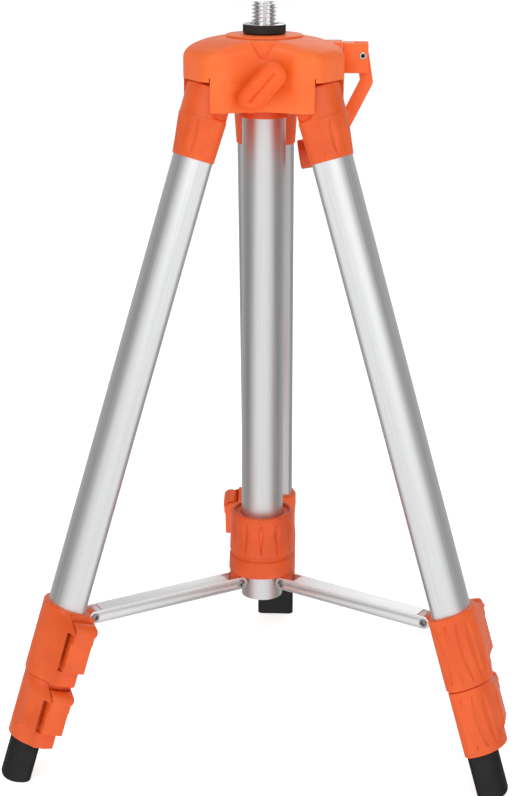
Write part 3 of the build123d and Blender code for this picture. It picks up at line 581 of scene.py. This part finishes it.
def make_hub():
    """Sliding hub: thick rim, narrow pointed hollows, a bright lip over a groove, and a lower ring."""
    _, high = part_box("hub_cup")
    top, bottom = high.z / MM, HUB_BOTTOM
    bore, base_r, top_r = HUB_BORE, HUB_BASE_R, HUB_TOP_R

    def side_r(height):
        return base_r + (top_r - base_r) * (height - bottom) / (top - bottom)

    def fluted(r, height, angle):
        if r < side_r(height) - 0.1:
            return r
        step = 2 * math.pi / HUB_HOLLOWS
        across = ((angle + step / 2) % step - step / 2) * base_r
        return r - 1.0 * pointed(across, height, 2.7, 131.5, 151.0)

    profile = [(bore, bottom), (base_r - 1.0, bottom), (base_r - 0.3, bottom + 0.3)]
    profile += [(base_r - 0.05, bottom + 0.9), (side_r(124.6), 124.6), (side_r(125.2) - 0.4, 125.2)]
    profile += [(base_r - 1.7, 125.7), (base_r - 1.7, 128.2)]
    profile += [(side_r(128.6) - 0.3, 128.6), (side_r(129.2), 129.2)]
    profile += [(side_r(130.4 + RING_GAP * i), 130.4 + RING_GAP * i) for i in range(34)]
    profile += [(side_r(top) - 0.02, top - 0.9), (top_r - 0.3, top - 0.3), (top_r - 0.9, top)]
    profile += [(top_r - 1.9, top), (top_r - 2.4, top - 0.4), (top_r - 2.6, top - 1.8)]
    profile += [(bore + 0.3, top - 1.8), (bore, top - 2.1)]
    bm = bmesh.new()
    add_rings(bm, turned(profile, 360, fluted), looped=True)
    add_lugs(bm)
    # The hub's darker orange is painted shade.
    add_piece("hub_fluted", mesh_from(bm, "hub_fluted"), HUB_SHADED_ORANGE, "hub",
              replaced=("hub_cup",), sharp=40)


def pointed(across, height, half_width, start, end):
    """Depth from 0 to 1 of a hollow that is wide at the top and pointed at the bottom."""
    if not start < height < end:
        return 0.0
    share = (height - start) / (end - start)
    width = half_width * min(share / 0.75, 1.0) * min(1.0, math.sqrt(max(0.0, (1.0 - share) / 0.25)))
    offset = abs(across) / max(width, 1e-6)
    return min(1.0, max(0.0, 1.6 * (1.0 - offset)))


def slab(bm, outline, half_width, place):
    """A plate cut to an outline in the XZ plane, with its two edges rounded over."""
    rings = []
    edge = 0.5
    inner = half_width - edge
    middle = Vector((sum(x for x, _ in outline), sum(z for _, z in outline))) / len(outline)
    for inset, y in ((edge, -half_width), (0.0, -inner), (0.0, inner), (edge, half_width)):
        ring = []
        for x, z in outline:
            towards = (middle - Vector((x, z))).normalized() * inset
            ring.append(place @ (Vector((x + towards.x, y, z + towards.y)) * MM))
        rings.append(ring)
    add_rings(bm, rings)


def add_lugs(bm):
    """Three lugs under the hub, one for each strut."""
    for side in SIDES:
        pivot = Vector(JOINTS[f"{side}_strut_turn"]["pos_m"])
        angle = math.atan2(pivot.y, pivot.x)
        place = Matrix.Rotation(angle, 4, "Z")
        pivot_r = math.hypot(pivot.x, pivot.y) / MM
        pivot_z = pivot.z / MM
        outline = [(HUB_LUG_START, HUB_BOTTOM + 0.4), (pivot_r + LUG_R, HUB_BOTTOM + 0.4)]
        for i in range(LUG_ARC_STEPS + 1):
            turn = math.pi * i / LUG_ARC_STEPS
            outline.append((pivot_r + LUG_R * math.cos(turn), pivot_z - LUG_R * math.sin(turn)))
        outline.append((HUB_LUG_START, pivot_z))
        slab(bm, outline, LUG_HALF_WIDTH, place)


# ---------------------------------------------------------------- legs

def make_tube(side, name, shape, wall, drops, body, place):
    """Drawn D tube, open at both ends."""
    start, end = drops
    count = TUBE_POINTS
    rings = [
        d_ring(shape, -TUBE_EDGE, start, count),
        d_ring(shape, 0.0, start + TUBE_EDGE, count),
        d_ring(shape, 0.0, end - TUBE_EDGE, count),
        d_ring(shape, -TUBE_EDGE, end, count),
        d_ring(shape, -wall, end, count),
        d_ring(shape, -wall, start, count),
    ]
    bm = bmesh.new()
    add_rings(bm, rings, looped=True)
    piece_name = f"{side}_{name}_drawn"
    add_piece(piece_name, mesh_from(bm, piece_name), ALUMINIUM, body, place,
              (f"{side}_{name}",))


def hollowed(outline, drop, flutes, depth):
    """Turn an outline into a ring with leaf-shaped hollows pressed into it."""
    ring = []
    count = len(outline)
    for i, (x, y, across) in enumerate(outline):
        before = outline[i - 1]
        after = outline[(i + 1) % count]
        normal = Vector((after[1] - before[1], before[0] - after[0])).normalized()
        hollow = min(1.0, sum(leaf(across, drop, *flute) for flute in flutes))
        ring.append(Vector((x - normal.x * depth * hollow, y - normal.y * depth * hollow, -drop)) * MM)
    return ring


def blended_outline(first, second, share, grow, count):
    """Points part of the way from one D section to another, with how far round each is (mm)."""
    pairs = zip(d_outline(first, grow, count), d_outline(second, grow, count))
    return [tuple(a + (b - a) * share for a, b in zip(one, two)) for one, two in pairs]


def make_socket(side, place):
    """Socket between crown and tube: a round head between the cheeks, and a fluted skirt."""
    count = SOCKET_POINTS
    step, end = SOCKET_STEP, SOCKET_END
    shoulder = SOCKET_SHOULDER
    flat_x, depth, arc_r, corner, _ = TUBE_D
    rim = (flat_x - SOCKET_LIP, depth + 2 * SOCKET_LIP, arc_r + SOCKET_LIP, corner + SOCKET_LIP, 0.0)
    flutes = [(centre, 2.5, step + 2.0, end - 3.0, lean) for centre, lean in SOCKET_FLUTES]
    rings = [d_ring(TUBE_D, 0.05, SOCKET_BORE_START, count)]
    rings += [d_ring(TUBE_D, grow, end, count) for grow in (0.05, 0.45)]
    for i in range(SOCKET_RINGS):
        drop = end - 0.35 - (end - step - 0.8) * i / (SOCKET_RINGS - 1)
        outline = blended_outline(rim, shoulder, (end - drop) / (end - step), 0.0, count)
        rings.append(hollowed(outline, drop, flutes, SOCKET_FLUTE_DEPTH))
    rings.append(d_ring(shoulder, -0.15, step, count))
    rings.append(d_ring(shoulder, -0.45, step - 0.35, count))
    for drop in (step - 0.5, step - 1.6, step - 2.2, *HEAD_DROPS):
        rings.append(head_ring(shoulder, step - 0.5, drop, count))
    bm = bmesh.new()
    add_rings(bm, rings)
    name = f"{side}_socket_fluted"
    add_piece(name, placed(bm, name, place), LEG_SHADED_ORANGE, f"{side}_leg",
              replaced=(f"{side}_socket",))


def head_ring(shoulder, step_drop, drop, count):
    """Ring of the socket's neck, narrowed between the cheeks and to the hinge head's round top."""
    ring = []
    narrow = smooth((step_drop - drop) / 1.6)
    inset = max(0.0, -1.0 - drop) * 0.9
    for x, y, _ in d_outline(shoulder, -0.5 - min(1.6, inset), count):
        limited_y = max(-HEAD_HALF_WIDTH, min(HEAD_HALF_WIDTH, y))
        y = y + (limited_y - y) * narrow
        if drop < -2.0:
            reach = math.sqrt(max(0.04, HEAD_R ** 2 - drop ** 2))
            limited_x = max(-reach, min(reach, x))
            x = x + (limited_x - x) * smooth((-2.0 - drop) / 0.8)
        ring.append(Vector((x, y, -drop)) * MM)
    return ring


def smooth(value):
    """Ease from 0 to 1."""
    value = min(1.0, max(0.0, value))
    return value * value * (3 - 2 * value)


def cheeked(outline, spec, drop, inset=0.0):
    """Raise the outline into the cheek beside the lever, and into the band below the lever."""
    top, end, _, _, pin_y = spec
    tail = end - LEVER_TAIL_RISE
    cheek = smooth((drop - top - 0.3) / 9.0) * smooth((tail + 4.0 - drop) / 4.0)
    band = smooth((drop - tail - 0.4) / 0.8)
    capped = drop < top + LEVER_CREASE - CAP_LIFT
    edge = LEVER_OUTER_X + SIDE_GAP if capped else CHEEK_X
    crest = pin_y + CAP_RISE if capped else pin_y - CHEEK_INSET
    outer, root = CHEEK_OUTER_X, CHEEK_ROOT_Y
    slope = (pin_y - CHEEK_INSET - root) / (outer - CHEEK_X)
    corner = min(1.0, max(0.0, (drop - end + BAND_CORNER_R) / BAND_CORNER_R))
    rounding = BAND_CORNER_R * (1 - math.sqrt(1 - 0.96 * corner * corner))
    band_y = pin_y - BAND_INSET - inset - rounding
    raised = []
    for x, y, across in outline:
        if y > 0 and edge <= x <= outer:
            wedge = min(root + slope * (outer - x), crest)
            y = y + max(0.0, wedge - y) * cheek
        if y > 6.0 and x <= outer:
            outer_slope = max(0.0, x - 3.0) * 2.05
            inner_curve = max(0.0, LEVER_INNER_X + 1.0 - x) ** 2 * 0.9
            y = y + max(0.0, band_y - outer_slope - inner_curve - y) * band
        raised.append((x, y, across))
    return raised


def make_collar(side, level, spec, outer, inner, body, place, with_lug):
    """Clamp collar: rounded lips, leaf-shaped hollows, and the cheek and seat beside its lever."""
    top, end, wall, shift, _ = spec
    shape = (*TUBE_D[:4], shift)
    count = COLLAR_POINTS
    flutes = [(centre, 3.0, top + 5.0, end - 5.0, lean) for centre, lean in COLLAR_FLUTES]
    rings = []
    for inset, drop in ((0.9, end), (0.3, end - 0.25), (0.0, end - 0.9)):
        outline = cheeked(d_outline(shape, wall - inset, count), spec, drop, inset)
        rings.append(hollowed(outline, drop, (), 0.0))
    lip = 1.2
    span = end - top - 2 * lip
    steps = int(span / RING_GAP)
    for i in range(steps + 1):
        drop = end - lip - span * i / steps
        outline = cheeked(d_outline(shape, wall, count), spec, drop)
        rings.append(hollowed(outline, drop, flutes, COLLAR_FLUTE_DEPTH))
    for grow, drop in ((wall, top + 0.9), (wall - 0.3, top + 0.25), (wall - 0.9, top)):
        rings.append(d_ring(shape, grow, drop, count))
    rings.append(d_ring(outer, 0.06, top, count))
    rings.append(d_ring(outer, 0.06, end - 3.4, count))
    rings.append(d_ring(inner, 0.3, end - 3.2, count))
    rings.append(d_ring(inner, 0.3, end, count))
    bm = bmesh.new()
    add_rings(bm, rings, looped=True)
    name = f"{side}_{level}_collar_fluted"
    collar = add_piece(name, placed(bm, name, place), LEG_SHADED_ORANGE, body,
                       replaced=(f"{side}_{level}_collar",))
    carve(collar, lever_room(spec, place))
    carve(collar, lever_slot(spec, place))
    seat = bmesh.new()
    add_seat(seat, spec)
    if with_lug:
        add_strut_lug(seat, side, place)
    name = f"{side}_{level}_collar_seat"
    add_piece(name, placed(seat, name, place), LEG_SHADED_ORANGE, body)


def lever_room(spec, place):
    """The space that the lever lies in, cut into the collar's side."""
    top, end, _, _, pin_y = spec
    tail = end - LEVER_TAIL_RISE
    low_x, high_x = LEVER_INNER_X - SIDE_GAP, LEVER_OUTER_X + SIDE_GAP
    low_y, high_y = pin_y - ROOM_INSET, pin_y + CUT_REACH
    roof = -top - LEVER_PIN_DROP + ROOM_INSET
    bm = bmesh.new()
    add_block(bm, low_x, high_x, low_y, high_y, -tail - 0.4, roof, 0.3)
    return placed(bm, "lever_room", place)


def lever_slot(spec, place):
    """The slot between the lever and the cheek beside it."""
    top, end, _, _, pin_y = spec
    tail = end - LEVER_TAIL_RISE
    bm = bmesh.new()
    low_x, high_x = LEVER_OUTER_X - 0.45, CHEEK_X - 0.2
    low_y, high_y = pin_y - SLOT_INSET, pin_y + CUT_REACH
    add_block(bm, low_x, high_x, low_y, high_y, -tail - 0.2, -top - LEVER_CREASE + SLOT_LIFT, 0.3)
    return placed(bm, "lever_slot", place)


def add_block(bm, x0, x1, y0, y1, z0, z1, edge):
    """A block in the leg's frame with rounded edges."""
    made = bmesh.ops.create_cube(bm, size=1.0)
    size = Vector((x1 - x0, y1 - y0, z1 - z0)) * MM
    middle = Vector((x0 + x1, y0 + y1, z0 + z1)) * (MM / 2)
    for vert in made["verts"]:
        vert.co = Vector((vert.co.x * size.x, vert.co.y * size.y, vert.co.z * size.z)) + middle
    edges = list({e for v in made["verts"] for e in v.link_edges})
    bmesh.ops.bevel(bm, geom=edges, offset=edge * MM, segments=3, profile=0.5, affect="EDGES")


def add_seat(bm, spec):
    """Ear at the inner end of the lever's pin, and the seat behind the lever."""
    top, end, _, _, pin_y = spec
    pivot = top + LEVER_PIN_DROP
    outline = [(EAR_ROOT_Y, -pivot - EAR_R), (pin_y, -pivot - EAR_R)]
    for i in range(1, 16):
        turn = -math.pi / 2 + math.pi * i / 16
        outline.append((pin_y + EAR_R * math.cos(turn), -pivot + EAR_R * math.sin(turn)))
    outline += [(pin_y, -pivot + EAR_R), (EAR_ROOT_Y, -top - 0.8)]
    ear_half = 1.0
    ear_x = LEVER_INNER_X - SIDE_GAP - ear_half
    quarter = Matrix.Translation(Vector((ear_x, 0, 0)) * MM) @ Matrix.Rotation(math.pi / 2, 4, "Z")
    slab(bm, outline, ear_half, quarter)
    tail = end - LEVER_TAIL_RISE
    low_x, high_x = ear_x - ear_half, LEVER_OUTER_X + 0.4
    low_y, high_y = pin_y - SEAT_BACK, pin_y - SEAT_FACE
    add_block(bm, low_x, high_x, low_y, high_y, -tail - 1.0, -top - 1.0, 0.6)


def add_strut_lug(bm, side, place):
    """Ear on the collar's flat side for the strut's outer pivot."""
    pivot = place.inverted() @ Vector(JOINTS[f"{side}_leg_turn"]["pos_m"]) / MM
    root_x = -8.5
    outline = [(root_x, pivot.z + LUG_R)]
    for i in range(LUG_ARC_STEPS + 1):
        turn = math.pi / 2 + math.pi * i / LUG_ARC_STEPS
        outline.append((pivot.x + LUG_R * math.cos(turn), pivot.z + LUG_R * math.sin(turn)))
    outline.append((root_x, pivot.z - LUG_R))
    slab(bm, outline, LUG_HALF_WIDTH, Matrix.Identity(4))


def make_rivets(side):
    """Two tubular rivets with rolled heads and a sunken centre; their steel is darkened as painted shade
    for the sunken centre.
    """
    half_width = RIVET_HALF_SPAN
    tip = half_width + RIVET_HEAD
    profile = [(1.3, half_width - 2.0), (1.3, tip - 0.5), (1.6, tip - 0.1)]
    profile += [(2.0, tip), (2.4, tip - 0.15), (2.7, tip - 0.6)]
    profile += [(2.7, half_width), (1.45, half_width)]
    core = [(1.32, 0.0), (1.32, half_width - 0.4), (1.0, half_width - 0.2)]
    bm = bmesh.new()
    for joint in ("strut_turn", "leg_turn"):
        pivot = Vector(JOINTS[f"{side}_{joint}"]["pos_m"])
        axis = Vector(JOINTS[f"{side}_{joint}"]["axis"]).normalized()
        turn = axis.to_track_quat("Z", "Y").to_matrix().to_4x4()
        for flip in (0.0, math.pi):
            place = Matrix.Translation(pivot) @ turn @ Matrix.Rotation(flip, 4, "X")
            rings = [[place @ point for point in ring] for ring in turned(profile, 40)]
            add_rings(bm, rings, looped=True)
            centre = [[place @ point for point in ring] for ring in turned(core, 24)]
            add_rings(bm, centre)
    name = f"{side}_rivets_rolled"
    add_piece(name, mesh_from(bm, name), RIVET_SHADED_METAL, f"{side}_strut",
              replaced=(f"{side}_strut_rivets",))


def make_leg(side):
    """All the shown pieces of one leg."""
    place = leg_matrix(side)
    make_tube(side, "upper_tube", TUBE_D, TUBE_WALL, TUBE_DROPS, f"{side}_leg", place)
    make_tube(side, "mid_tube", MID_D, MID_WALL, MID_DROPS, f"{side}_mid", place)
    make_tube(side, "low_tube", LOW_D, LOW_WALL, LOW_DROPS, f"{side}_low", place)
    # Socket, collars, seats and levers take the darker leg orange, which is painted shade.
    make_socket(side, place)
    make_collar(side, "upper", UPPER_COLLAR, TUBE_D, MID_D, f"{side}_leg", place, True)
    make_collar(side, "mid", MID_COLLAR, MID_D, LOW_D, f"{side}_mid", place, False)
    carried(f"{side}_upper_lever", LEG_SHADED_ORANGE, f"{side}_upper_flip", 0.5, 3)
    carried(f"{side}_mid_lever", LEG_SHADED_ORANGE, f"{side}_mid_flip", 0.5, 3)
    carried(f"{side}_foot", RUBBER, f"{side}_low", 0.4)
    carried(f"{side}_strut", STRUT_METAL, f"{side}_strut", 0.25)
    make_rivets(side)
    carried(f"{side}_hinge_pin", PIN_METAL, f"{side}_leg")
    carried(f"{side}_upper_lever_pin", PIN_METAL, f"{side}_leg")
    carried(f"{side}_mid_lever_pin", PIN_METAL, f"{side}_mid")


# ---------------------------------------------------------------- studio

def make_camera():
    """Camera in front of the tripod, a little above it, looking down at its middle."""
    azimuth = math.radians(CAMERA_AZIMUTH)
    yaw = math.radians(CAMERA_AZIMUTH + CAMERA_YAW)
    pitch = math.radians(CAMERA_PITCH)
    roll = math.radians(CAMERA_ROLL)
    data = bpy.data.cameras.new("camera")
    data.sensor_width = SENSOR_WIDTH
    data.lens = CAMERA_LENS
    camera = bpy.data.objects.new("camera", data)
    bpy.context.scene.collection.objects.link(camera)
    level = math.cos(pitch)
    ahead = Vector((-math.sin(yaw) * level, math.cos(yaw) * level, -math.sin(pitch)))
    right = ahead.cross(Vector((0, 0, 1))).normalized()
    up = right.cross(ahead)
    rolled_right = math.cos(roll) * right + math.sin(roll) * up
    rolled_up = math.cos(roll) * up - math.sin(roll) * right
    turn = Matrix((rolled_right, rolled_up, -ahead)).transposed().to_4x4()
    across, back = math.sin(azimuth) * CAMERA_DISTANCE, math.cos(azimuth) * CAMERA_DISTANCE
    where = Vector((across, -back, CAMERA_HEIGHT))
    camera.matrix_world = Matrix.Translation(where) @ turn
    bpy.context.scene.camera = camera


def add_softbox(name, where, aim, size, power, colour=(1, 1, 1)):
    """A rectangular lamp that faces its aim; size in metres, power in watts."""
    data = bpy.data.lights.new(name, "AREA")
    data.shape = "RECTANGLE"
    data.size, data.size_y = size
    data.energy = power
    data.color = colour
    light = bpy.data.objects.new(name, data)
    bpy.context.scene.collection.objects.link(light)
    light.location = where
    light.rotation_euler = (Vector(aim) - Vector(where)).to_track_quat("-Z", "Y").to_euler()


def make_floor():
    """Pale floor with a faint mottle; it glows a little, so that it stays even to its far edge."""
    material, nodes, links, shader = node_tree("floor_pale")
    mottle = tinted(nodes, links, noise(nodes, links, 3.0), (0.86, 0.86, 0.86), (0.89, 0.89, 0.89))
    links.new(mottle, shader.inputs["Base Color"])
    shader.inputs["Roughness"].default_value = 0.9
    shader.inputs["Specular IOR Level"].default_value = 0.1
    shader.inputs["Emission Color"].default_value = (1.0, 1.0, 1.0, 1.0)
    shader.inputs["Emission Strength"].default_value = FLOOR_GLOW
    bm = bmesh.new()
    bmesh.ops.create_circle(bm, cap_ends=True, segments=96, radius=30.0)
    floor = bpy.data.objects.new("floor", mesh_from(bm, "floor"))
    floor.data.materials.append(material)
    bpy.context.scene.collection.objects.link(floor)
    floor.visible_glossy = False


def make_world():
    """Soft surround, bright in front and dim at the sides, with a plain white backdrop."""
    world = bpy.data.worlds.new("studio")
    world.use_nodes = True
    nodes, links = world.node_tree.nodes, world.node_tree.links
    where = nodes.new("ShaderNodeTexCoord")
    split = nodes.new("ShaderNodeSeparateXYZ")
    links.new(where.outputs["Generated"], split.inputs["Vector"])
    ramp = nodes.new("ShaderNodeValToRGB")
    ramp.color_ramp.interpolation = "EASE"
    stops = ((0.0, 0.92), (0.20, 0.80), (0.46, 0.16), (0.75, 0.40), (1.0, 0.60))
    while len(ramp.color_ramp.elements) < len(stops):
        ramp.color_ramp.elements.new(0.5)
    for element, (position, value) in zip(ramp.color_ramp.elements, stops):
        element.position = position
        element.color = (value, value, value, 1)
    ranged = nodes.new("ShaderNodeMapRange")
    ranged.inputs["From Min"].default_value = -1.0
    ranged.inputs["From Max"].default_value = 1.0
    links.new(split.outputs["Y"], ranged.inputs["Value"])
    links.new(ranged.outputs["Result"], ramp.inputs["Fac"])
    links.new(ramp.outputs["Color"], nodes["Background"].inputs["Color"])
    backdrop = nodes.new("ShaderNodeBackground")
    backdrop.inputs["Color"].default_value = (1.0, 1.0, 1.0, 1.0)
    rays = nodes.new("ShaderNodeLightPath")
    mix = nodes.new("ShaderNodeMixShader")
    links.new(rays.outputs["Is Camera Ray"], mix.inputs[0])
    links.new(nodes["Background"].outputs["Background"], mix.inputs[1])
    links.new(backdrop.outputs["Background"], mix.inputs[2])
    links.new(mix.outputs["Shader"], nodes["World Output"].inputs["Surface"])
    bpy.context.scene.world = world


def make_studio():
    """Floor, surround and four soft lights."""
    make_floor()
    make_world()
    add_softbox("key", (-1.3, -1.8, 1.9), (0, 0, 0.3), (1.2, 1.2), 11.0)
    add_softbox("fill", (1.6, -1.4, 1.2), (0, 0, 0.25), (1.4, 1.4), 6.0)
    add_softbox("top", (0.0, 0.3, 2.4), (0, 0, 0.2), (2.0, 2.0), 12.0)
    add_softbox("back", (0.6, 1.9, 1.5), (0, 0, 0.3), (1.6, 1.2), 4.0)
    bpy.context.scene.view_settings.view_transform = "Standard"


make_camera()
make_studio()
make_stud()
make_nut()
make_plate()
make_knob()
make_hub()
carried("crown_top", ORANGE, "crown", 0.7, 3)
carried("crown_base", ORANGE, "crown", 0.5)
# The column ring, the crank's handle and the lift column take the deep orange, which is painted shade.
carried("column_ring", SHADED_DEEP_ORANGE, "crown", 0.5)
carried("crank_block", ORANGE, "crown", 0.4)
carried("crank_arm", ORANGE, "crank", 0.4)
carried("crank_handle", SHADED_DEEP_ORANGE, "grip")
make_crank_screw()
carried("column_tube", ALUMINIUM, "crown")
carried("guide_bush", BLACK, "crown")
carried("brake_pad", BLACK, "crown")
carried("lift_column", SHADED_DEEP_ORANGE, "lift")
carried("pinion_shaft", PIN_METAL, "pinion")
carried("knob_screw", BRIGHT, "knob")
for side in SIDES:
    make_leg(side)
